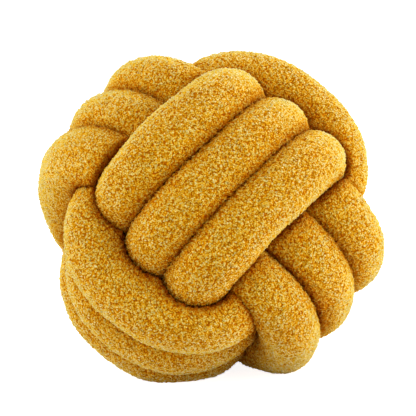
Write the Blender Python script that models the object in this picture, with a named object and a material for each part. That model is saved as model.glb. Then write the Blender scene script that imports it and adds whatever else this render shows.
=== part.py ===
"""A ball cushion tied from one stuffed tube of teddy cloth.

The tube is one solid. It makes nine turns, in three sets of three. Each set winds round the ball at right
angles to the other two, over one of them and under the other, so every face of the ball shows three
strands side by side. The tube steps from one turn to the next where other strands cover it, runs from one
set into the next at the back of the ball, and starts and ends in the hollow at the middle.

The knot is worked out in its own axes: the origin is the ball's centre, and x, y and z point through the
middles of three faces. Set 0 is long in x, narrow in y and stacked along z; sets 1 and 2 follow with the
axes stepped round. The ball is then turned to the attitude in which it rests on three strands.
"""
import math

import bpy
import numpy as np
from mathutils import Euler

# Driving sizes, in metres
TUBE_RADIUS = 0.0284        # to the corners of the tube's sections, where nothing presses on it
PITCH = 0.0453              # from strand to strand, side by side
REACH = 0.1174              # ball's centre to the middle of a strand at a turn's far end
HALF_WIDTH = 0.0798         # ball's centre to the middle of a strand at a turn's narrow side
OUTER_TURN_DROP = 0.0018    # how much the outer two turns of a set are smaller than its middle one
SQUARENESS = 2.58           # 2 makes a turn an ellipse, more makes it squarer
SIDE_DIP = 0.015            # how far a turn's narrow side is pressed in under the strands that cross it
DIP_FULL, DIP_END = 0.15, 0.78   # the dip is full up to the first share of the reach, gone at the second
SEAT_DEPTH = 0.0056         # how far the floor presses the lowest strands flat

# How the solid is faceted
SECTION_SIDES = 12
SECTION_SPACING = 0.0140
ROUTE_SPACING = 0.004
FINER = 3                   # the pressing is worked out this many times finer than the facets
PRESS_PASSES = 12
EASING_PASSES = 2
PRESS_GAP = 0.0012          # between stretches that press on each other
LEAST_REACH = 0.0005
PRESS_SOFTNESS = 0.0020     # how gently a flattened side rounds off
OWN_STRETCH = 0.060         # a stretch doesn't press on the tube this near to itself along the route
END_BLUNTNESS = 0.03        # the first ring of a rounded end lies this share of the radius in from its tip

# The ball's attitude at rest, in degrees
ATTITUDE = (-131.4, -35.7, 37.7)

# Each set's turns. sense: which way they wind. start, stop: in quarter turns, counted from the far end on
# the set's long axis. first_level: the side of the stack that it starts on.
SETS = (
    {"sense": 1, "start": 1.38, "stop": 12.12, "first_level": -1, "first_step": 5},
    {"sense": -1, "start": 0.0, "stop": 10.12, "first_level": 1, "first_step": 3},
    {"sense": 1, "start": 0.0, "stop": 10.64, "first_level": -1, "first_step": 3},
)

# How the strands on each face differ from the even knot. set, end: the face, by its set's long axis.
# skew: moved along the stack for each metre along the set's narrow axis. firm: how much more of a shared
# border they take, as a radius. The others have a value for each of the three strands, in the stack's order.
# shift: moved along the stack. plump: added to the tube's radius. reach: further out from the ball's centre.
# low, high: longer at the narrow axis's lower and upper end.
FACES = (
    {"set": 0, "end": -1, "skew": -0.040, "firm": 0.0,
     "shift": (-0.0060, -0.0020, -0.0050), "plump": (0.0010, -0.0015, -0.0010),
     "reach": (0.0005, 0.0045, 0.0035), "low": (0.0, -0.0085, -0.0015), "high": (0.0, -0.0005, 0.0)},
    {"set": 0, "end": 1, "skew": 0.015, "firm": 0.0,
     "shift": (0.0010, 0.0, 0.0), "plump": (0.0010, 0.0, 0.0),
     "reach": (-0.0035, 0.0, 0.0), "low": (0.0025, 0.0, 0.0), "high": (0.0, 0.0, 0.0)},
    {"set": 1, "end": -1, "skew": -0.075, "firm": 0.0,
     "shift": (-0.0040, -0.0070, -0.0075), "plump": (0.0045, 0.0015, 0.0010),
     "reach": (-0.0035, 0.0020, 0.0035), "low": (0.0, 0.0, 0.0), "high": (0.0, 0.0, 0.0)},
    {"set": 1, "end": 1, "skew": 0.060, "firm": 0.0,
     "shift": (-0.0005, 0.0005, 0.0030), "plump": (-0.0025, 0.0005, 0.0),
     "reach": (0.0005, -0.0020, -0.0020), "low": (0.0030, 0.0015, 0.0010), "high": (-0.0015, 0.0050, 0.0020)},
    {"set": 2, "end": -1, "skew": 0.095, "firm": 0.0040,
     "shift": (-0.0015, -0.0030, -0.0075), "plump": (0.0010, 0.0, -0.0010),
     "reach": (-0.0050, -0.0050, -0.0050), "low": (-0.0065, 0.0085, 0.0150), "high": (-0.0035, 0.0010, 0.0020)},
)
STEP_HALF_LENGTH = 0.52     # a step to the next level takes this much of the turn each way, in radians

# Where the tube starts and ends inside the ball, and the way it runs there
START_POINT, START_WAY = (0.020, -0.008, -0.016), (-0.5, 0.7, -0.4)
END_POINT, END_WAY = (-0.010, 0.016, 0.014), (0.75, -0.5, 0.35)
INNER_HANDLE, OUTER_HANDLE = 0.026, 0.062   # how far a joining bend keeps to its end's direction

COLOUR = (0.70, 0.36, 0.035, 1.0)


def unit(vectors):
    """Vectors scaled to length 1."""
    vectors = np.asarray(vectors, float)
    return vectors / np.linalg.norm(vectors, axis=-1, keepdims=True)


def squared(wave, squareness):
    """A sine or cosine raised to 2/squareness, sign kept, which turns an ellipse into a squarer oval."""
    return np.sign(wave) * np.abs(wave) ** (2.0 / squareness)


def smoothstep(t):
    """0 below 0, 1 above 1, and a smooth S between."""
    t = np.clip(t, 0.0, 1.0)
    return t * t * (3.0 - 2.0 * t)


def turns_of_set(index):
    """One set's route: an oval in its long and narrow axes, stepping along its stack axis."""
    row = SETS[index]
    quarter = math.pi / 2
    swept = np.linspace(row["start"] * quarter, row["stop"] * quarter, 1600)
    steps = [smoothstep((swept - (row["first_step"] + 4 * n) * quarter) / (2 * STEP_HALF_LENGTH) + 0.5)
             for n in range(2)]
    level = row["first_level"] * (1.0 - sum(steps))
    angle = row["sense"] * swept
    along = squared(np.cos(angle), SQUARENESS)
    across = squared(np.sin(angle), SQUARENESS)
    drop = OUTER_TURN_DROP * level ** 2
    covered = 1.0 - smoothstep((np.abs(along) - DIP_FULL) / (DIP_END - DIP_FULL))
    rows = np.zeros((len(swept), 5))
    rows[:, index] = (REACH - drop) * along
    rows[:, (index + 1) % 3] = (HALF_WIDTH - drop - SIDE_DIP * covered) * across
    rows[:, (index + 2) % 3] = PITCH * level
    rows[:, 3:] = TUBE_RADIUS
    for face in (face for face in FACES if face["set"] == index):
        on_face = face["end"] * along
        share = smoothstep(1.5 * on_face)
        shift, plump, reach, low, high = (np.interp(level, (-1, 0, 1), face[name])
                                          for name in ("shift", "plump", "reach", "low", "high"))
        slide = shift + face["skew"] * rows[:, (index + 1) % 3]
        rows[:, index] += reach * face["end"] * np.maximum(on_face, 0.0)
        rows[:, (index + 1) % 3] += (high * (1 + across) - low * (1 - across)) / 2 * share
        rows[:, (index + 2) % 3] += slide * share
        rows[:, 3] += plump * smoothstep(2.0 * on_face)
        rows[:, 4] += face["firm"] * share
    return rows


def bend(start, start_way, end, end_way, handle):
    """A cubic curve from one row of a route to another, which leaves and arrives along the given ways."""
    t = np.linspace(0.0, 1.0, 60)[:, None]
    near = start[:3] + handle * unit(start_way)
    far = end[:3] - handle * unit(end_way)
    line = ((1 - t) ** 3 * start[:3] + 3 * (1 - t) ** 2 * t * near
            + 3 * (1 - t) * t ** 2 * far + t ** 3 * end[:3])
    return np.column_stack([line, (1 - t) * start[3:] + t * end[3:]])


def resampled(rows, spacing):
    """The same route with its rows evenly spaced along it, and the distance of each from its start."""
    rows = rows[np.r_[True, np.linalg.norm(np.diff(rows[:, :3], axis=0), axis=1) > 1e-7]]
    run = np.r_[0.0, np.cumsum(np.linalg.norm(np.diff(rows[:, :3], axis=0), axis=1))]
    wanted = np.linspace(0.0, run[-1], round(run[-1] / spacing) + 1)
    return np.stack([np.interp(wanted, run, column) for column in rows.T], 1), wanted


def softened(rows, passes):
    """The route with its joins eased: each pass moves a row halfway to its neighbours' middle."""
    rows = rows.copy()
    for _ in range(passes):
        rows[1:-1] += 0.5 * ((rows[:-2] + rows[2:]) / 2 - rows[1:-1])
    return rows


def tube_route():
    """The whole route, from the middle round three sets of turns and back: rows of x, y, z, radius, firmness."""
    sets = [turns_of_set(index) for index in range(3)]
    leads = [(turns[1, :3] - turns[0, :3], turns[-1, :3] - turns[-2, :3]) for turns in sets]
    start = np.array([*START_POINT, TUBE_RADIUS, TUBE_RADIUS])
    end = np.array([*END_POINT, TUBE_RADIUS, TUBE_RADIUS])
    pieces = [bend(start, START_WAY, sets[0][0], leads[0][0], INNER_HANDLE)]
    for index in range(3):
        pieces.append(sets[index])
        if index < 2:
            pieces.append(bend(sets[index][-1], leads[index][1],
                               sets[index + 1][0], leads[index + 1][0], OUTER_HANDLE))
    pieces.append(bend(sets[2][-1], leads[2][1], end, END_WAY, INNER_HANDLE))
    rows, _ = resampled(np.concatenate(pieces), ROUTE_SPACING)
    return resampled(softened(rows, 6), ROUTE_SPACING)


def section_frames(centres):
    """Two directions square to the route at each point, carried along without twist."""
    ways = unit(np.gradient(centres, axis=0))
    side = unit(np.cross(ways[0], (0.0, 0.0, 1.0)))
    sides = []
    for way in ways:
        side = unit(side - way * np.dot(side, way))
        sides.append(side)
    sides = np.array(sides)
    return sides, np.cross(ways, sides)


def round_sections(route, spacing, side_count):
    """Where the tube is cut into rings: their route rows, distances along it, rays and free radius."""
    rows, run = resampled(route, spacing)
    sides, ups = section_frames(rows[:, :3])
    angles = np.arange(side_count) * (2 * math.pi / side_count)
    rays = np.cos(angles)[None, :, None] * sides[:, None] + np.sin(angles)[None, :, None] * ups[:, None]
    from_end = np.clip(np.minimum(run, run[-1] - run) / TUBE_RADIUS, END_BLUNTNESS, 1.0)
    return rows, run, rays, rows[:, 3] * np.sqrt(1.0 - (1.0 - from_end) ** 2)


def press_limit(route, route_run, rows, run, rays):
    """How far each ray may go: to the plane between its centre and the nearest other stretch, which lies
    halfway where both are as firm, and otherwise nearer to the softer one."""
    limit = np.empty(rays.shape[:2])
    for index, row in enumerate(rows):
        others = route[np.abs(route_run - run[index]) > OWN_STRETCH]
        offsets = others[:, :3] - row[:3]
        border = (offsets ** 2).sum(1) + row[4] ** 2 - others[:, 4] ** 2
        facing = np.maximum(rays[index] @ offsets.T, 1e-9)
        limit[index] = (np.maximum(border, 1e-6) / (2 * facing)).min(axis=1) - PRESS_GAP / 2
    return limit


def refined(grid):
    """A grid of rings by sides, with FINER - 1 values worked out between each two, both ways."""
    ring_count, side_count = grid.shape
    place = np.arange((ring_count - 1) * FINER + 1) / FINER
    below = np.minimum(place.astype(int), ring_count - 2)
    part = (place - below)[:, None]
    grid = grid[below] * (1 - part) + grid[below + 1] * part
    place = np.arange(side_count * FINER) / FINER
    below = place.astype(int)
    part = place - below
    return grid[:, below] * (1 - part) + grid[:, (below + 1) % side_count] * part


def kept_under(reach, limit):
    """Lowers a coarse grid of reaches until the facets between them stay under a finer grid of limits."""
    offsets = range(1 - FINER, FINER)
    for _ in range(PRESS_PASSES):
        excess = np.maximum(refined(reach) - limit, 0.0)
        excess = np.pad(excess, ((FINER, FINER), (0, 0)))
        lowering = np.zeros_like(reach)
        for ring_offset in offsets:
            rows = excess[FINER + ring_offset:][:(len(reach) - 1) * FINER + 1:FINER]
            for side_offset in offsets:
                share = (1 - abs(ring_offset) / FINER) * (1 - abs(side_offset) / FINER)
                lowering = np.maximum(lowering, share * np.roll(rows, -side_offset, axis=1)[:, ::FINER])
        reach = reach - lowering
    return reach


def eased_in(reach, passes):
    """Lowers lone high reaches beside a deep pinch, so that the surface runs down to it evenly."""
    for _ in range(passes):
        ends = np.pad(reach, ((1, 1), (0, 0)), mode="edge")
        around = (ends[:-2] + ends[2:] + np.roll(reach, 1, axis=1) + np.roll(reach, -1, axis=1)) / 4
        reach = np.minimum(reach, (reach + around) / 2)
    return reach


def pressed_rings(route, route_run):
    """Rings of surface points: a round tube, drawn in softly wherever another stretch presses on it."""
    rows, run, rays, radius = round_sections(route, SECTION_SPACING, SECTION_SIDES)
    limit = press_limit(route, route_run, rows, run, rays)
    reach = -PRESS_SOFTNESS * np.logaddexp(-radius[:, None] / PRESS_SOFTNESS, -limit / PRESS_SOFTNESS)
    fine = np.linspace(0.0, run[-1], (len(run) - 1) * FINER + 1)
    fine_rows = np.stack([np.interp(fine, run, column) for column in rows.T], 1)
    fine_rays = np.stack([refined(rays[..., axis]) for axis in range(3)], -1)
    reach = kept_under(reach, press_limit(route, route_run, fine_rows, fine, unit(fine_rays)))
    reach = eased_in(reach, EASING_PASSES)
    centres = rows[:, :3]
    return centres, centres[:, None] + np.maximum(reach, LEAST_REACH)[..., None] * rays


def tube_faces(ring_count, side_count):
    """Four-sided faces between neighbouring rings, and a fan of three-sided ones at each end."""
    ring = np.arange(ring_count - 1)[:, None] * side_count
    side = np.arange(side_count)[None, :]
    following = (side + 1) % side_count
    quads = np.stack([ring + side, ring + following, ring + side_count + following,
                      ring + side_count + side], -1).reshape(-1, 4)
    last = (ring_count - 1) * side_count
    first_pole, last_pole = ring_count * side_count, ring_count * side_count + 1
    around, onwards = np.arange(side_count), (np.arange(side_count) + 1) % side_count
    fans = [(first_pole, b, a) for a, b in zip(around, onwards)]
    fans += [(last_pole, last + a, last + b) for a, b in zip(around, onwards)]
    return [tuple(int(i) for i in face) for face in list(map(tuple, quads)) + fans]


def at_rest(points):
    """Turns points from the knot's own axes to the attitude at rest."""
    turn = np.array(Euler([math.radians(angle) for angle in ATTITUDE]).to_matrix())
    return points @ turn.T


def teddy_material():
    """Mustard teddy cloth."""
    material = bpy.data.materials.new("teddy_cloth")
    material.use_nodes = True
    shader = material.node_tree.nodes["Principled BSDF"]
    shader.inputs["Base Color"].default_value = COLOUR
    shader.inputs["Roughness"].default_value = 0.95
    shader.inputs["Metallic"].default_value = 0.0
    return material


def knotted_tube(collection):
    """The tube as one closed mesh, standing on the floor with its box's centre over the origin."""
    route, run = tube_route()
    centres, rings = pressed_rings(route, run)
    points = np.concatenate([rings.reshape(-1, 3), centres[:1], centres[-1:]])
    points = at_rest(points)
    points[:, 2] -= points[:, 2].min() + SEAT_DEPTH
    points[:, 2] = np.maximum(points[:, 2], 0.0)
    middle = (points.min(0) + points.max(0)) / 2
    points[:, :2] -= middle[:2]
    mesh = bpy.data.meshes.new("knotted_tube")
    mesh.from_pydata(points.tolist(), [], tube_faces(len(rings), SECTION_SIDES))
    mesh.validate()
    mesh.shade_smooth()
    mesh.materials.append(teddy_material())
    tube = bpy.data.objects.new("knotted_tube", mesh)
    collection.objects.link(tube)
    return tube


def main():
    for item in list(bpy.data.objects):
        bpy.data.objects.remove(item)
    collection = bpy.data.collections.new("knot_cushion")
    bpy.context.scene.collection.children.link(collection)
    knotted_tube(collection)


if __name__ == "__main__":
    main()
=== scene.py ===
import math

import bpy
import numpy as np
from mathutils import Euler, Matrix, Vector


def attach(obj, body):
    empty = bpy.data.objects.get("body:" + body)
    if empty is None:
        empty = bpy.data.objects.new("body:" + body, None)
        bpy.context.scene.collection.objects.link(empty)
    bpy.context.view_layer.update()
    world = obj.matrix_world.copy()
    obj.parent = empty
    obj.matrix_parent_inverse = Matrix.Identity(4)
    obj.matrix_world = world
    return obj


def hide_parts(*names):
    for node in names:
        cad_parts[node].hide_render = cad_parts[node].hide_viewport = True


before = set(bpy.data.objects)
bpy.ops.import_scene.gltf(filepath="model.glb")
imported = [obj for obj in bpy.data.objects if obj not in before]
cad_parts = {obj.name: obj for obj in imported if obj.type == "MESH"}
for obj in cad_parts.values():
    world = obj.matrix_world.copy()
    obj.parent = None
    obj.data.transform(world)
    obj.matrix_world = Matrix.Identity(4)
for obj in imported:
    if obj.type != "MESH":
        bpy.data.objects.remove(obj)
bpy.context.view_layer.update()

# The knot, in metres. Its own axes point through the middles of three faces of the ball.
TUBE_RADIUS = 0.0273        # where nothing presses on the tube, to about the middle of its pile's height
PITCH = 0.0453              # from strand to strand, side by side
REACH = 0.1174              # ball's centre to the middle of a strand at a turn's far end
HALF_WIDTH = 0.0798         # ball's centre to the middle of a strand at a turn's narrow side
OUTER_TURN_DROP = 0.0018    # how much the outer two turns of a set are smaller than its middle one
SQUARENESS = 2.58           # 2 makes a turn an ellipse, more makes it squarer
SIDE_DIP = 0.015            # how far a turn's narrow side is pressed in under the strands that cross it
DIP_FULL, DIP_END = 0.15, 0.78   # the dip is full up to the first share of the reach, gone at the second
KNOT_CENTRE = (0.00293, -0.00102, 0.13173)   # with the ball on the floor and its box over the origin
ATTITUDE = (-131.4, -35.7, 37.7)  # the ball's turn at rest, in degrees about X, then Y, then Z

# Each set's turns. sense: which way they wind. start, stop: in quarter turns, counted from the far end on
# the set's long axis. first_level: the side of the stack that it starts on. first_step: the quarter turn at
# which it steps to the stack's next level; it steps again one whole turn later.
SETS = (
    {"sense": 1, "start": 1.38, "stop": 12.12, "first_level": -1, "first_step": 5},
    {"sense": -1, "start": 0.0, "stop": 10.12, "first_level": 1, "first_step": 3},
    {"sense": 1, "start": 0.0, "stop": 10.64, "first_level": -1, "first_step": 3},
)
# How the strands on each face differ from the even knot. set, end: the face, by its set's long axis.
# skew: moved along the stack for each metre along the set's narrow axis. firm: how much more of a shared
# border they take, as a radius. The others have a value for each of the three strands, in the stack's order.
# shift: moved along the stack. plump: added to the tube's radius. reach: further out from the ball's centre.
# low, high: longer at the narrow axis's lower and upper end.
FACES = (
    {"set": 0, "end": -1, "skew": -0.040, "firm": 0.0,
     "shift": (-0.0060, -0.0020, -0.0050), "plump": (0.0010, -0.0015, -0.0010),
     "reach": (0.0005, 0.0045, 0.0035), "low": (0.0, -0.0085, -0.0015), "high": (0.0, -0.0005, 0.0)},
    {"set": 0, "end": 1, "skew": 0.015, "firm": 0.0,
     "shift": (0.0010, 0.0, 0.0), "plump": (0.0010, 0.0, 0.0),
     "reach": (-0.0035, 0.0, 0.0), "low": (0.0025, 0.0, 0.0), "high": (0.0, 0.0, 0.0)},
    {"set": 1, "end": -1, "skew": -0.075, "firm": 0.0,
     "shift": (-0.0040, -0.0070, -0.0075), "plump": (0.0045, 0.0015, 0.0010),
     "reach": (-0.0035, 0.0020, 0.0035), "low": (0.0, 0.0, 0.0), "high": (0.0, 0.0, 0.0)},
    {"set": 1, "end": 1, "skew": 0.060, "firm": 0.0,
     "shift": (-0.0005, 0.0005, 0.0030), "plump": (-0.0025, 0.0005, 0.0),
     "reach": (0.0005, -0.0020, -0.0020), "low": (0.0030, 0.0015, 0.0010),
     "high": (-0.0015, 0.0050, 0.0020)},
    {"set": 2, "end": -1, "skew": 0.095, "firm": 0.0040,
     "shift": (-0.0015, -0.0030, -0.0075), "plump": (0.0010, 0.0, -0.0010),
     "reach": (-0.0050, -0.0050, -0.0050), "low": (-0.0065, 0.0085, 0.0150),
     "high": (-0.0035, 0.0010, 0.0020)},
)
# On its way out to a face a strand takes on skew, shift, low, high and firm in full by 1/1.5 of the way, and
# plump by 1/2. reach grows evenly with the way.
SHIFT_RISE, PLUMP_RISE = 1.5, 2.0
STEP_HALF_LENGTH = 0.52     # a step to the next level takes this much of the turn each way, in radians
START_POINT, START_WAY = (0.020, -0.008, -0.016), (-0.5, 0.7, -0.4)   # the two ends, tucked in the middle
END_POINT, END_WAY = (-0.010, 0.016, 0.014), (0.75, -0.5, 0.35)
INNER_HANDLE, OUTER_HANDLE = 0.026, 0.062   # how far a joining bend keeps to its end's direction

# How closely the route is worked out
TURNS_SAMPLES, BEND_SAMPLES = 6000, 200   # a set's turns and a joining bend, before they are spaced evenly
SAME_PLACE = 1e-7           # rows that lie nearer together than this count as one
ROUTE_SPACING = 0.0015
JOIN_EASE = 0.0069          # the route is smoothed over about this length

# How stretches of the tube press on each other
OWN_STRETCH = 0.060         # a stretch doesn't press on the tube this near to itself along the route
PRESS_REACH = 0.075         # nothing further off than this can press on the tube
PRESS_SPACING = 0.003       # between the places along the route that are tried for what presses
PRESS_GAP = 0.0024          # between stretches that press on each other
PRESS_SOFTNESS = 0.0012     # how gently a flattened side rounds off
UNPRESSED = 1.0             # how far a ray may go where nothing is near
LEAST_FACING, LEAST_BORDER = 1e-9, 1e-6   # keep every border in front of the place where its ray starts
LEAST_REACH = 0.0002        # from the route to the surface
LEAST_LENGTH = 1e-12        # of a normal before it is scaled to length 1
END_BLUNTNESS = 0.004       # an end's last ring is as wide as a ball is this far, in radii, from its tip

# Mesh spacing: close where the surface shows, wide where it is covered
FINE, WIDE = 0.00112, 0.0036
SHOWN_ANGLE = math.radians(112)   # to each side of straight out from the ball's centre
COVER_STEP = 4              # one in so many of the route's rows is tried for what covers it
COVER_EASE = 5              # the change of spacing is spread over so many of those
COVER_RISE = 3              # and the spacing is close where one third of them show
PLACING_SAMPLES = 4001      # places at which the wanted gap is looked up
PIECES = 6                  # the tube is cut into so many meshes
HIDDEN = 0.05               # and only where its outer side is less open than this

# The pile. Each salt gives a pattern of its own.
CURL_SIZE, CURL_HEIGHT = 0.0029, 0.0030
FINE_CURL_SIZE = CURL_SIZE * 0.55
CURL_SALT, FINE_CURL_SALT, TUFT_SALT = 21, 22, 31
CURL_BENDS = (              # how far the curls wander from side to side, and over what size
    {"far": 0.0030, "size": 0.0045, "salt": 11},
    {"far": 0.0012, "size": 0.0021, "salt": 12},
)
SIDE_SHARE, DOME_SHARE, FINE_SHARE = 0.50, 0.22, 0.28   # what a curl's sides, its dome and fine curls add
SIDE_POWER = 0.6            # below 1 it makes a curl's sides steep and its top broad
FINE_LEAST = 0.4            # what is left of a fine curl where it meets the next
PILE_SINK = 0.0013          # the curls' roots lie this far inside the tube's radius
# The pile is flat where a border lies the first of these inside the free surface, and over the second of
# them it comes to stand up in full.
PRESSED_DEPTH, PRESSED_RISE = 0.0060, 0.005
PRESSED_PILE = 0.15         # what is left of the pile's height where it is flat
LUMP_HEIGHT = 0.0007
LUMP_LENGTHS = (0.071, 0.053, 0.043, 0.037, 0.029)   # of the slow waves that make the filling uneven
LUMP_TURNS, LUMP_PHASE = (3.1, 2.3, 1.7), 1.9        # radians that scatter the waves' ways and starts
TUFT_SIZE, TUFT_HEIGHT = 0.0030, 0.0026   # clumps of curls that bridge the creases
TUFT_LEVEL = 0.4            # a clump stands out where its dome is above this, and dips below it
TUFT_RISE, TUFT_START = 10.0, 8.8   # clumps start at 0.88 of the way into a crease and are full at 0.98
CREASE_REACH = 0.045        # painted crease shade, darker and redder, falls where a ray could go less than this past the free surface

# Blobs: how steeply their sides and their domes fall off. Primes and a factor that mix a cell's numbers.
BLOB_SIDE, BLOB_DOME = 1.9, 1.1
CELL_PRIMES = (73856093, 19349663, 83492791)
CELL_FACTOR = 1274126177


def unit(vectors):
    """Vectors scaled to length 1: each is divided by its length."""
    vectors = np.asarray(vectors, float)
    return vectors / np.linalg.norm(vectors, axis=-1, keepdims=True)


def smoothstep(t):
    """0 below 0, 1 above 1, and between them three times t squared less twice t cubed, a smooth S."""
    t = np.clip(t, 0.0, 1.0)
    return t * t * (3.0 - 2.0 * t)


def squarer(wave):
    """A sine or cosine raised to 2/SQUARENESS, sign kept, which turns an ellipse into a squarer oval."""
    return np.sign(wave) * np.abs(wave) ** (2.0 / SQUARENESS)


# ---------------------------------------------------------------- the route

def turns_of_set(index):
    """One set's route, as rows of x, y, z, radius and firmness. It goes by a cosine along the long axis and a
    sine along the narrow axis, both made squarer, with smooth steps from level to level of the stack. The
    narrow side dips where strands cross over it, and a face's differences come in on the way to it."""
    row = SETS[index]
    long_axis, narrow_axis, stack_axis = index, (index + 1) % 3, (index + 2) % 3
    quarter = math.pi / 2
    swept = np.linspace(row["start"] * quarter, row["stop"] * quarter, TURNS_SAMPLES)
    steps = [smoothstep((swept - (row["first_step"] + 4 * n) * quarter) / (2 * STEP_HALF_LENGTH) + 0.5)
             for n in range(2)]
    level = row["first_level"] * (1.0 - sum(steps))
    angle = row["sense"] * swept
    along, across = squarer(np.cos(angle)), squarer(np.sin(angle))
    drop = OUTER_TURN_DROP * level ** 2
    covered = 1.0 - smoothstep((np.abs(along) - DIP_FULL) / (DIP_END - DIP_FULL))
    rows = np.zeros((len(swept), 5))
    rows[:, long_axis] = (REACH - drop) * along
    rows[:, narrow_axis] = (HALF_WIDTH - drop - SIDE_DIP * covered) * across
    rows[:, stack_axis] = PITCH * level
    rows[:, 3:] = TUBE_RADIUS
    for face in (face for face in FACES if face["set"] == index):
        on_face = face["end"] * along
        share = smoothstep(SHIFT_RISE * on_face)
        shift, plump, reach, low, high = (np.interp(level, (-1, 0, 1), face[name])
                                          for name in ("shift", "plump", "reach", "low", "high"))
        slide = shift + face["skew"] * rows[:, narrow_axis]
        rows[:, long_axis] += reach * face["end"] * np.maximum(on_face, 0.0)
        rows[:, narrow_axis] += (high * (1 + across) - low * (1 - across)) / 2 * share
        rows[:, stack_axis] += slide * share
        rows[:, 3] += plump * smoothstep(PLUMP_RISE * on_face)
        rows[:, 4] += face["firm"] * share
    return rows


def bend(start, start_way, end, end_way, handle):
    """A cubic curve from one row of a route to another, with a handle along the given way at each end. At t
    it is (1 - t) cubed of the start, 3 (1 - t) squared t of the near handle, 3 (1 - t) t squared of the far
    one and t cubed of the end. The radius and the firmness change evenly from end to end."""
    t = np.linspace(0.0, 1.0, BEND_SAMPLES)[:, None]
    near = start[:3] + handle * unit(start_way)
    far = end[:3] - handle * unit(end_way)
    line = ((1 - t) ** 3 * start[:3] + 3 * (1 - t) ** 2 * t * near
            + 3 * (1 - t) * t ** 2 * far + t ** 3 * end[:3])
    return np.column_stack([line, (1 - t) * start[3:] + t * end[3:]])


def rows_at(places, rows, run):
    """The route's rows at the given distances from its start, read between the rows on either side."""
    return np.stack([np.interp(places, run, column) for column in rows.T], 1)


def resampled(rows, spacing):
    """The same route with its rows evenly spaced along it, and the distance of each from its start. The
    distances between rows are added up, and new rows are read off at even steps of that sum."""
    rows = rows[np.r_[True, np.linalg.norm(np.diff(rows[:, :3], axis=0), axis=1) > SAME_PLACE]]
    run = np.r_[0.0, np.cumsum(np.linalg.norm(np.diff(rows[:, :3], axis=0), axis=1))]
    wanted = np.linspace(0.0, run[-1], round(run[-1] / spacing) + 1)
    return rows_at(wanted, rows, run), wanted


def tube_route():
    """The whole route, from the middle round three sets of turns and back, as evenly spaced rows of x, y, z,
    radius and firmness. Each smoothing pass moves a row half of the way to midway between its neighbours;
    the passes together spread a kink over about JOIN_EASE."""
    sets = [turns_of_set(index) for index in range(3)]
    leads = [(turns[1, :3] - turns[0, :3], turns[-1, :3] - turns[-2, :3]) for turns in sets]
    start = np.array([*START_POINT, TUBE_RADIUS, TUBE_RADIUS])
    end = np.array([*END_POINT, TUBE_RADIUS, TUBE_RADIUS])
    pieces = [bend(start, START_WAY, sets[0][0], leads[0][0], INNER_HANDLE), sets[0]]
    for before, after in ((0, 1), (1, 2)):
        pieces.append(bend(sets[before][-1], leads[before][1],
                           sets[after][0], leads[after][0], OUTER_HANDLE))
        pieces.append(sets[after])
    pieces.append(bend(sets[2][-1], leads[2][1], end, END_WAY, INNER_HANDLE))
    rows, _ = resampled(np.concatenate(pieces), ROUTE_SPACING)
    passes = round(2 * (JOIN_EASE / ROUTE_SPACING) ** 2)
    for _ in range(passes):
        rows[1:-1] += 0.5 * ((rows[:-2] + rows[2:]) / 2 - rows[1:-1])
    return resampled(rows, ROUTE_SPACING)


# ---------------------------------------------------------------- the tube's surface

def placed_closely(start, stop, spacing_at):
    """Places from start to stop whose gaps follow spacing_at, the wanted gap at each place. Many short
    lengths, each divided by its wanted gap, are added up, and the places are at even steps of that sum."""
    dense = np.linspace(start, stop, PLACING_SAMPLES)
    count = np.r_[0.0, np.cumsum((dense[1:] - dense[:-1]) / spacing_at((dense[1:] + dense[:-1]) / 2))]
    return np.interp(np.linspace(0.0, count[-1], round(count[-1]) + 1), count, dense)


def press_limit(others, others_run, rows, run, rays):
    """How far each ray may go: to the nearest border between its row and another stretch, less half the gap.
    A border is the plane square to the line between the two, halfway where both are as firm, and otherwise
    nearer to the softer one. Along a ray it lies at the distance squared, plus the row's firmness squared,
    less the other's firmness squared, over twice how far the other lies along the ray."""
    limit = np.full(rays.shape[:2], UNPRESSED)
    for index, row in enumerate(rows):
        offsets = others[:, :3] - row[:3]
        squares = (offsets ** 2).sum(1)
        near = (np.abs(others_run - run[index]) > OWN_STRETCH) & (squares < PRESS_REACH ** 2)
        if near.any():
            facing = np.maximum(rays[index] @ offsets[near].T, LEAST_FACING)
            border = np.maximum(squares[near] + row[4] ** 2 - others[near, 4] ** 2, LEAST_BORDER)
            limit[index] = (border / (2 * facing)).min(axis=1) - PRESS_GAP / 2
    return limit


def outward_frames(centres):
    """Two ways square to the route at each of its rows: the one nearest to straight out from the ball's
    centre, which is that way less its part along the route, and the route's direction crossed with it."""
    onward = unit(np.gradient(centres, axis=0))
    outs = unit(centres)
    outs = unit(outs - onward * (outs * onward).sum(1)[:, None])
    return outs, np.cross(onward, outs)


def lumps(points):
    """Gentle unevenness of the filling, from -1 to 1: the mean of slow sine waves, each with a length, a
    direction and a start of its own."""
    total = np.zeros(points.shape[:-1])
    for index, length in enumerate(LUMP_LENGTHS):
        first, second, third = (index * turn for turn in LUMP_TURNS)
        way = unit((math.sin(first + 1), math.cos(second), math.sin(third + 2)))
        total += np.sin(2 * math.pi * (points @ way) / length + LUMP_PHASE * index)
    return total / len(LUMP_LENGTHS)


def ring_places(route, run, others, others_run):
    """How far along the route each ring of points lies: FINE apart where nothing covers the outer side of
    the tube, WIDE apart where another stretch does, and a smooth change between."""
    coarse, coarse_run = route[::COVER_STEP], run[::COVER_STEP]
    outs, _ = outward_frames(coarse[:, :3])
    cover = press_limit(others, others_run, coarse, coarse_run, outs[:, None])[:, 0]
    shown = np.convolve(cover > TUBE_RADIUS, np.ones(COVER_EASE) / COVER_EASE, "same")

    def spacing_at(places):
        return WIDE + (FINE - WIDE) * smoothstep(COVER_RISE * np.interp(places, coarse_run, shown))

    return placed_closely(0.0, run[-1], spacing_at)


def side_angles():
    """The angles of a ring's points from straight out of the ball: FINE apart up to SHOWN_ANGLE to each
    side, and WIDE apart on the inner side, as lengths on the tube's free surface."""
    def spacing_at(angles):
        return np.where(np.abs(angles) < SHOWN_ANGLE, FINE, WIDE) / TUBE_RADIUS

    return placed_closely(-math.pi, math.pi, spacing_at)[:-1]


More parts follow.
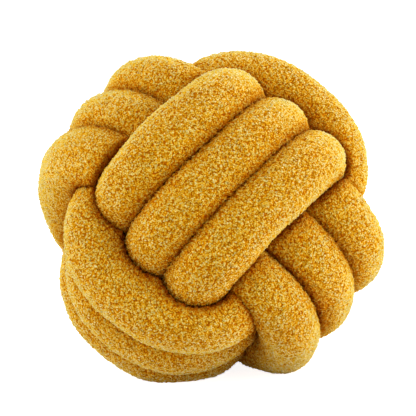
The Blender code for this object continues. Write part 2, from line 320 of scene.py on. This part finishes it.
def tube_surface():
    """The pressed tube, without its pile, as a grid of points, rings by sides. Along each ray from the route
    it goes as far as the free radius or the border with another stretch, whichever is less, with a soft
    changeover: minus the softness times the logarithm of e to the (-free/softness) plus e to the
    (-border/softness). The free radius rounds off at the tube's two ends as a ball's does. openness is how
    far the pile stands up, from 0 to 1, and crease is 1 in a crease and 0 where the tube is clear."""
    route, run = tube_route()
    step = round(PRESS_SPACING / ROUTE_SPACING)
    others, others_run = route[::step], run[::step]
    rings_run = ring_places(route, run, others, others_run)
    rows = rows_at(rings_run, route, run)
    centres = rows[:, :3]
    outs, sides = outward_frames(centres)
    angles = side_angles()
    rays = np.cos(angles)[None, :, None] * outs[:, None] + np.sin(angles)[None, :, None] * sides[:, None]
    from_end = np.clip(np.minimum(rings_run, rings_run[-1] - rings_run) / TUBE_RADIUS, END_BLUNTNESS, 1.0)
    radius = (rows[:, 3] - PILE_SINK) * np.sqrt(1.0 - (1.0 - from_end) ** 2)
    limit = press_limit(others, others_run, rows, rings_run, rays)
    free = radius[:, None] + LUMP_HEIGHT * lumps(centres[:, None] + TUBE_RADIUS * rays)
    reach = -PRESS_SOFTNESS * np.logaddexp(-free / PRESS_SOFTNESS, -limit / PRESS_SOFTNESS)
    openness = smoothstep((limit - free + PRESSED_DEPTH) / PRESSED_RISE)
    crease = np.clip(1.0 - (limit - free) / CREASE_REACH, 0.0, 1.0)
    points = centres[:, None] + np.maximum(reach, LEAST_REACH)[..., None] * rays
    return centres, points, openness, crease


def surface_normals(points):
    """Outward normals of a grid that closes round its second axis: the slope from side to side crossed with
    the slope from ring to ring, scaled to length 1."""
    onward = np.gradient(points, axis=0)
    around = np.roll(points, -1, axis=1) - np.roll(points, 1, axis=1)
    normals = np.cross(around, onward)
    return normals / np.maximum(np.linalg.norm(normals, axis=-1, keepdims=True), LEAST_LENGTH)


# ---------------------------------------------------------------- the pile

def cell_numbers(cells, salt):
    """Three repeatable numbers from 0 to 1 for each whole-number cell. Its coordinates, each times a prime,
    are mixed bit by bit with the salt. Each number takes one more round of shifting, mixing and multiplying,
    and is the upper 24 of the lowest 32 bits, divided by 2 to the 24th."""
    x, y, z = (cells[..., axis].astype(np.int64).astype(np.uint64) * np.uint64(prime)
               for axis, prime in enumerate(CELL_PRIMES))
    mixed = x ^ y ^ z ^ np.uint64(salt)
    numbers = []
    for turn in range(3):
        mixed = (mixed ^ (mixed >> np.uint64(13))) * np.uint64(CELL_FACTOR + 2 * turn)
        mixed = mixed & np.uint64(2 ** 32 - 1)
        numbers.append((mixed >> np.uint64(8)).astype(np.float32) / 2.0 ** 24)
    return np.stack(numbers, -1)


def blobs(points, size, salt):
    """Blobs about one size across, each round a scattered middle in a cell of its own. The first result is a
    blob's sides: the distance to the second nearest middle less that to the nearest, so it is 0 where two
    blobs meet. The second is its dome: 1 at its middle, less the squared distance from it."""
    scaled = (points / size).astype(np.float32)
    base = np.floor(scaled)
    nearest = np.full(scaled.shape[:-1], np.inf, np.float32)
    second = nearest.copy()
    for corner in np.ndindex(3, 3, 3):
        cells = base + np.array(corner, np.float32) - 1
        offset = cells + cell_numbers(cells, salt) - scaled
        distance = (offset ** 2).sum(-1)
        second = np.minimum(second, np.maximum(nearest, distance))
        nearest = np.minimum(nearest, distance)
    sides = np.clip((np.sqrt(second) - np.sqrt(nearest)) * BLOB_SIDE, 0, 1)
    return sides, np.clip(1 - nearest * BLOB_DOME, 0, 1)


def drift(points, size, salt):
    """A smooth vector field that wanders over about one size, from -0.5 to 0.5, for bending a pattern out of
    true: the numbers at a cell's eight corners, each weighted by how near the point is to that corner."""
    scaled = points / size
    base = np.floor(scaled)
    part = smoothstep(scaled - base)
    total = np.zeros(points.shape, np.float32)
    for corner in np.ndindex(2, 2, 2):
        share = np.prod(np.where(corner, part, 1 - part), axis=-1)[..., None]
        total += (share * (cell_numbers(base + np.array(corner), salt) - 0.5)).astype(np.float32)
    return total


def curls(points):
    """The pile's height from 0 to 1: blobs bent into short worms, with finer blobs riding on them. It is the
    weighted sum of the blobs' sides, to the power SIDE_POWER, their domes and the fine blobs' domes, which
    are lower towards their sides."""
    bent = points
    for bends in CURL_BENDS:
        bent = bent + bends["far"] * drift(points, bends["size"], bends["salt"])
    side, dome = blobs(bent, CURL_SIZE, CURL_SALT)
    fine_side, fine_dome = blobs(bent, FINE_CURL_SIZE, FINE_CURL_SALT)
    fine = FINE_SHARE * fine_dome * (FINE_LEAST + (1 - FINE_LEAST) * fine_side)
    return np.clip(SIDE_SHARE * side ** SIDE_POWER + DOME_SHARE * dome + fine, 0, 1)


# ---------------------------------------------------------------- meshes

def in_place(points):
    """Points turned from the knot's own axes to the attitude at rest, then moved by the knot's centre."""
    turn = np.array(Euler([math.radians(angle) for angle in ATTITUDE]).to_matrix())
    return points @ turn.T + np.array(KNOT_CENTRE)


def closed_tube(name, rings, middles, values):
    """A mesh of rings by sides: four-sided faces from each ring to the next, and at each end a disc of
    triangles round the ring's middle. values holds a number for each point of the rings under each name,
    for the material to read."""
    ring_count, side_count = rings.shape[:2]
    side = np.arange(side_count)
    following = (side + 1) % side_count
    ring = np.arange(ring_count - 1)[:, None] * side_count
    quads = np.stack([ring + side, ring + side_count + side, ring + side_count + following,
                      ring + following], -1).reshape(-1, 4)
    last = (ring_count - 1) * side_count
    first_middle = ring_count * side_count
    first_disc = np.stack([np.full(side_count, first_middle), side, following], 1)
    last_disc = np.stack([np.full(side_count, first_middle + 1), last + following, last + side], 1)
    discs = np.concatenate([first_disc, last_disc])
    points = np.concatenate([rings.reshape(-1, 3), middles])
    loops = np.concatenate([quads.ravel(), discs.ravel()]).astype(np.int32)
    sizes = np.r_[np.full(len(quads), 4), np.full(len(discs), 3)]
    mesh = bpy.data.meshes.new(name)
    mesh.vertices.add(len(points))
    mesh.vertices.foreach_set("co", points.astype(np.float32).ravel())
    mesh.loops.add(len(loops))
    mesh.loops.foreach_set("vertex_index", loops)
    mesh.polygons.add(len(sizes))
    mesh.polygons.foreach_set("loop_start", np.r_[0, np.cumsum(sizes)[:-1]].astype(np.int32))
    mesh.polygons.foreach_set("use_smooth", np.ones(len(sizes), bool))
    mesh.update(calc_edges=True)
    mesh.validate()
    for value_name, numbers in values.items():
        attribute = mesh.attributes.new(value_name, "FLOAT", "POINT")
        attribute.data.foreach_set("value", np.r_[numbers.ravel(), 0.0, 0.0].astype(np.float32))
    piece = bpy.data.objects.new(name, mesh)
    bpy.context.scene.collection.objects.link(piece)
    return piece


def hidden_cuts(openness):
    """The first and the last ring and, between them, the hidden rings nearest to even shares of the way."""
    last = len(openness) - 1
    outer_side = openness.shape[1] // 2
    hidden = np.flatnonzero(openness[:, outer_side] < HIDDEN)
    wanted = [round(index * last / PIECES) for index in range(1, PIECES)]
    return [0, *(int(hidden[np.abs(hidden - place).argmin()]) for place in wanted), last]


def knotted_tube(material):
    """The whole tube in PIECES meshes, cut where other strands cover it. The surface is raised along its
    normals by the curls, which are lower where they are pressed, and by the clumps in the creases. What
    would lie under the floor is pressed flat on it."""
    centres, points, openness, crease = tube_surface()
    height = curls(points)
    pile = height * CURL_HEIGHT * (PRESSED_PILE + (1 - PRESSED_PILE) * openness)
    _, tuft_dome = blobs(points, TUFT_SIZE, TUFT_SALT)
    tufts = (tuft_dome - TUFT_LEVEL) * smoothstep(TUFT_RISE * crease - TUFT_START) * openness
    raised = (pile + tufts * TUFT_HEIGHT)[..., None] * surface_normals(points)
    placed = in_place(points + raised)
    placed[..., 2] = np.maximum(placed[..., 2], 0.0)
    middles = in_place(centres)
    cuts = hidden_cuts(openness)
    for index, (first, last) in enumerate(zip(cuts, cuts[1:])):
        part = slice(first, last + 1)
        piece = closed_tube(f"tube_stretch_{index + 1}", placed[part], middles[[first, last]],
                            {"pile": height[part], "crease": crease[part]})
        piece.data.materials.append(material)
        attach(piece, "root")
        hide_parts("knotted_tube")


# ---------------------------------------------------------------- materials

CLOTH_FINISH = {"Roughness": 0.95, "Specular IOR Level": 0.02, "Sheen Roughness": 0.50,
                "Sheen Tint": (1.0, 0.88, 0.60, 1.0)}
# What makes up the height that colours the pile: the curls' own height, and two layers of beads of fibre.
# size: across a bead. bending: how far its layer is bent out of true. share: of the height.
CURL_SHARE = 0.22
FIBRE_LAYERS = (
    {"size": 0.0023, "bending": 0.0012, "share": 0.34},
    {"size": 0.0013, "bending": 0.0007, "share": 0.44},
)
BEAD_WANDER = 0.45          # waves of the bending to each bead
BEAD_POWER, BEAD_FALL = 1.8, -1.9   # how a bead's height falls off with the distance from its middle
# Colours of the pile by its height, from the cracks between fibres to the tips of the curls: the cloth's own
# colour, and painted shade that darkens the cracks between the curls
PILE_COLOURS_AND_SHADE = (
    (0.14, (0.37, 0.086, 0.0002)),
    (0.38, (0.63, 0.257, 0.0004)),
    (0.53, (0.72, 0.416, 0.0150)),
    (0.68, (0.73, 0.548, 0.110)),
    (0.88, (0.71, 0.660, 0.330)),
)
# Painted crease shade: what the colour is multiplied by, darker and redder from the open pile to the depth of
# a crease
PAINTED_CREASE_SHADE = (
    (0.20, (1.0, 1.0, 1.0)),
    (0.50, (0.99, 0.96, 0.84)),
    (0.72, (0.95, 0.86, 0.58)),
    (0.88, (0.84, 0.67, 0.32)),
    (1.00, (0.44, 0.22, 0.04)),
)
# Painted rim sheen: seen at a slant the pile shows its pale tips, and its colour is raised paler towards
# the rim. From the first slant to the second its height moves towards RIM_HEIGHT, by the third of these as a
# share at most.
RIM_FROM, RIM_TO, RIM_SHARE = 0.30, 0.90, 0.80
RIM_HEIGHT = 0.74
APART_POWER = 0.8           # the painted rim sheen and the shader's sheen are multiplied by 1 less crease, to this power
# The cloth's tone goes from low to high as a noise in slow patches goes from its low to its high value.
PATCH_SCALE, PATCH_LOW, PATCH_HIGH = 28.0, 0.3, 0.7
TONE_LOW, TONE_HIGH = 0.985, 1.015
SHEEN_FROM, SHEEN_STRENGTH = 0.42, 3.4   # the sheen starts at this height and grows with it
BUMP_DISTANCE = 0.0017


def node(tree, kind, **settings):
    """Adds a shader node and sets its properties and, by name with _ for a space, its sockets' values."""
    made = tree.nodes.new(kind)
    for name, value in settings.items():
        if hasattr(made, name) and name not in made.inputs:
            setattr(made, name, value)
        else:
            made.inputs[name.replace("_", " ")].default_value = value
    return made


def math_node(tree, operation, first, second):
    """A Math node's output; first and second may each be a socket or a number."""
    made = tree.nodes.new("ShaderNodeMath")
    made.operation = operation
    for socket, value in zip(made.inputs, (first, second)):
        if isinstance(value, (int, float)):
            socket.default_value = value
        else:
            tree.links.new(value, socket)
    return made.outputs[0]


def colour_ramp(tree, value, stops):
    """The colour at a socket's value, read between the given (position, colour) stops."""
    made = tree.nodes.new("ShaderNodeValToRGB")
    elements = made.color_ramp.elements
    while len(elements) < len(stops):
        elements.new(0.5)
    for element, (position, colour) in zip(elements, stops):
        element.position = position
        element.color = (*colour, 1.0)
    tree.links.new(value, made.inputs["Fac"])
    return made.outputs["Color"]


def map_range(tree, value, **settings):
    """A socket's value moved from one range to another."""
    made = node(tree, "ShaderNodeMapRange", **settings)
    tree.links.new(value, made.inputs["Value"])
    return made.outputs["Result"]


def beads(tree, place, size, bending):
    """Rounded beads about one size across, their places bent out of true by a noise. The height is 1 plus
    BEAD_FALL times the distance from a bead's middle, in sizes, to the power BEAD_POWER, and at least 0."""
    noise = node(tree, "ShaderNodeTexNoise", Scale=BEAD_WANDER / size, Detail=1.0)
    tree.links.new(place, noise.inputs["Vector"])
    shifted = node(tree, "ShaderNodeVectorMath", operation="MULTIPLY_ADD")
    tree.links.new(noise.outputs["Color"], shifted.inputs[0])
    shifted.inputs[1].default_value = (bending, bending, bending)
    tree.links.new(place, shifted.inputs[2])
    cells = node(tree, "ShaderNodeTexVoronoi", feature="F1", Scale=1.0 / size)
    tree.links.new(shifted.outputs["Vector"], cells.inputs["Vector"])
    made = node(tree, "ShaderNodeMath", operation="MULTIPLY_ADD", use_clamp=True)
    tree.links.new(math_node(tree, "POWER", cells.outputs["Distance"], BEAD_POWER), made.inputs[0])
    made.inputs[1].default_value = BEAD_FALL
    made.inputs[2].default_value = 1.0
    return made.outputs[0]


def teddy_cloth():
    """Mustard teddy cloth: pale fuzzy curls, deep orange between them with painted shade in the cracks, and
    painted crease shade, darker and redder, in the creases. The height is the weighted sum of the curls and
    the layers of fibre; towards the rim it moves to RIM_HEIGHT, a painted rim sheen. The colour is
    PILE_COLOURS_AND_SHADE at that height, the cloth's own colour with painted shade in the cracks, times a
    patchy tone, times the painted crease shade of PAINTED_CREASE_SHADE at the crease's depth. The sheen is
    the height above SHEEN_FROM, times
    SHEEN_STRENGTH, times 1 less crease to the power APART_POWER. The height makes the bump as well."""
    material = bpy.data.materials.new("teddy_cloth")
    material.use_nodes = True
    tree = material.node_tree
    shader = tree.nodes["Principled BSDF"]
    for socket, value in CLOTH_FINISH.items():
        shader.inputs[socket].default_value = value
    place = tree.nodes.new("ShaderNodeTexCoord").outputs["Object"]
    pile = node(tree, "ShaderNodeAttribute", attribute_name="pile").outputs["Fac"]
    crease = node(tree, "ShaderNodeAttribute", attribute_name="crease").outputs["Fac"]
    height = math_node(tree, "MULTIPLY", pile, CURL_SHARE)
    for layer in FIBRE_LAYERS:
        fibres = beads(tree, place, layer["size"], layer["bending"])
        height = math_node(tree, "ADD", height, math_node(tree, "MULTIPLY", fibres, layer["share"]))

    facing = tree.nodes.new("ShaderNodeLayerWeight").outputs["Facing"]
    rim = map_range(tree, facing, interpolation_type="SMOOTHSTEP",
                    From_Min=RIM_FROM, From_Max=RIM_TO, To_Max=RIM_SHARE)
    apart = math_node(tree, "POWER", math_node(tree, "SUBTRACT", 1.0, crease), APART_POWER)
    open_rim = math_node(tree, "MULTIPLY", rim, apart)
    # painted rim sheen: at a slant the colour's height is raised towards RIM_HEIGHT, less in the creases
    painted_rim_lift = math_node(tree, "MULTIPLY", open_rim, math_node(tree, "SUBTRACT", RIM_HEIGHT, height))
    # PILE_COLOURS_AND_SHADE: the pile's own colour, with painted shade darkening the cracks between the curls
    colour = colour_ramp(tree, math_node(tree, "ADD", height, painted_rim_lift), PILE_COLOURS_AND_SHADE)

    patches = node(tree, "ShaderNodeTexNoise", Scale=PATCH_SCALE, Detail=2.0)
    tree.links.new(place, patches.inputs["Vector"])
    tone = map_range(tree, patches.outputs["Fac"], From_Min=PATCH_LOW, From_Max=PATCH_HIGH,
                     To_Min=TONE_LOW, To_Max=TONE_HIGH)
    toned = node(tree, "ShaderNodeVectorMath", operation="SCALE")
    tree.links.new(colour, toned.inputs[0])
    tree.links.new(tone, toned.inputs["Scale"])
    shaded = node(tree, "ShaderNodeVectorMath", operation="MULTIPLY")
    tree.links.new(toned.outputs["Vector"], shaded.inputs[0])
    # painted crease shade: the colour is darkened and reddened by PAINTED_CREASE_SHADE at the crease's depth
    tree.links.new(colour_ramp(tree, crease, PAINTED_CREASE_SHADE), shaded.inputs[1])
    tree.links.new(shaded.outputs["Vector"], shader.inputs["Base Color"])

    above = math_node(tree, "MAXIMUM", math_node(tree, "SUBTRACT", height, SHEEN_FROM), 0.0)
    fuzz = math_node(tree, "MULTIPLY", apart, above)
    tree.links.new(math_node(tree, "MULTIPLY", fuzz, SHEEN_STRENGTH), shader.inputs["Sheen Weight"])
    bump = node(tree, "ShaderNodeBump", Strength=1.0, Distance=BUMP_DISTANCE)
    tree.links.new(height, bump.inputs["Height"])
    tree.links.new(bump.outputs["Normal"], shader.inputs["Normal"])
    return material


# ---------------------------------------------------------------- floor, lights, camera

PHOTO_WIDTH = 416
PIXEL = 0.000867            # metres to a pixel at the ball's centre
CAMERA_DISTANCE = 1.383     # from the place beside the ball's centre that it aims at
CAMERA_RIGHT = (0.9988, -0.0092, -0.0482)    # the ways to the picture's right and to its top
CAMERA_UP = (0.0491, 0.1946, 0.9797)
BALL_PIXEL = (212.8, 218.0)  # where the ball's centre falls in the photograph
SENSOR_WIDTH = 36.0         # millimetres
CAMERA_SEES_TO = 30.0

FLOOR_HALF_WIDTH = 12.0
FLOOR_COLOUR, FLOOR_ROUGHNESS = (0.90, 0.90, 0.90, 1.0), 0.9
WARM, WHITE = (1.0, 0.88, 0.62, 1.0), (1.0, 1.0, 1.0, 1.0)   # the floor's glow as a light, and as seen
FLOOR_GLOW = {"as_light": 0.08, "more_when_seen": 0.80}
WORLD_GLOW = {"as_light": 0.65, "more_when_seen": 0.35}

SOFTBOX_SIZE = 1.0
SOFTBOXES = (               # each faces the ball's centre
    {"name": "right_light", "position": (1.8, -0.5, 0.6), "watts": 28.0},
    {"name": "left_light", "position": (-1.8, -0.3, 0.6), "watts": 12.0},
    {"name": "top_light", "position": (-0.9, -0.5, 1.8), "watts": 16.0},
    {"name": "back_right_light", "position": (1.2, 1.0, 1.5), "watts": 19.5},
    {"name": "back_left_light", "position": (-1.2, 1.0, 1.5), "watts": 9.5},
)


def camera():
    """The photograph's view, by a long lens a little above the ball. The lens is the sensor's width times
    the distance over the photograph's width in metres at the ball. It aims beside the ball's centre by as
    many pixels as that lies from the photograph's middle."""
    right, up = Vector(CAMERA_RIGHT).normalized(), Vector(CAMERA_UP)
    back = right.cross(up).normalized()
    up = back.cross(right)
    data = bpy.data.cameras.new("camera")
    data.sensor_width = SENSOR_WIDTH
    data.lens = SENSOR_WIDTH * CAMERA_DISTANCE / (PHOTO_WIDTH * PIXEL)
    data.clip_end = CAMERA_SEES_TO
    aim = Vector(KNOT_CENTRE)
    aim -= right * (BALL_PIXEL[0] - PHOTO_WIDTH / 2) * PIXEL
    aim += up * (BALL_PIXEL[1] - PHOTO_WIDTH / 2) * PIXEL
    made = bpy.data.objects.new("camera", data)
    bpy.context.scene.collection.objects.link(made)
    made.matrix_world = Matrix((right, up, back)).transposed().to_4x4()
    made.location = aim + back * CAMERA_DISTANCE
    bpy.context.scene.camera = made


def softbox(name, position, watts):
    """A square area light that faces the ball's centre."""
    data = bpy.data.lights.new(name, "AREA")
    data.size = SOFTBOX_SIZE
    data.energy = watts
    made = bpy.data.objects.new(name, data)
    bpy.context.scene.collection.objects.link(made)
    made.location = position
    made.rotation_euler = (Vector(KNOT_CENTRE) - Vector(position)).to_track_quat("-Z", "Y").to_euler()


def glow_strength(tree, seen, glow):
    """A glow's strength: as_light, and more_when_seen added for what the camera sees of it."""
    more = math_node(tree, "MULTIPLY", seen, glow["more_when_seen"])
    return math_node(tree, "ADD", glow["as_light"], more)


def floor_paint():
    """Plain pale matt paint, which glows white where the camera sees it and faintly warm as a light."""
    paint = bpy.data.materials.new("floor_paint")
    paint.use_nodes = True
    tree = paint.node_tree
    shader = tree.nodes["Principled BSDF"]
    shader.inputs["Base Color"].default_value = FLOOR_COLOUR
    shader.inputs["Roughness"].default_value = FLOOR_ROUGHNESS
    seen = tree.nodes.new("ShaderNodeLightPath").outputs["Is Camera Ray"]
    tint = node(tree, "ShaderNodeMix", data_type="RGBA")
    factor, first_colour, second_colour = tint.inputs[0], tint.inputs[6], tint.inputs[7]
    mixed_colour = tint.outputs[2]
    tree.links.new(seen, factor)
    first_colour.default_value = WARM
    second_colour.default_value = WHITE
    tree.links.new(mixed_colour, shader.inputs["Emission Color"])
    tree.links.new(glow_strength(tree, seen, FLOOR_GLOW), shader.inputs["Emission Strength"])
    return paint


def studio():
    """A pale floor and soft light from all round, strongest from the right and from behind on the right."""
    mesh = bpy.data.meshes.new("floor")
    side = FLOOR_HALF_WIDTH
    corners = [(-side, -side, 0), (side, -side, 0), (side, side, 0), (-side, side, 0)]
    mesh.from_pydata(corners, [], [(0, 1, 2, 3)])
    mesh.materials.append(floor_paint())
    floor = bpy.data.objects.new("floor", mesh)
    bpy.context.scene.collection.objects.link(floor)
    for row in SOFTBOXES:
        softbox(row["name"], row["position"], row["watts"])
    world = bpy.data.worlds.new("studio")
    world.use_nodes = True
    tree = world.node_tree
    background = tree.nodes["Background"]
    background.inputs["Color"].default_value = WHITE
    seen = tree.nodes.new("ShaderNodeLightPath").outputs["Is Camera Ray"]
    tree.links.new(glow_strength(tree, seen, WORLD_GLOW), background.inputs["Strength"])
    bpy.context.scene.world = world
    bpy.context.scene.view_settings.view_transform = "Standard"


knotted_tube(teddy_cloth())
studio()
camera()
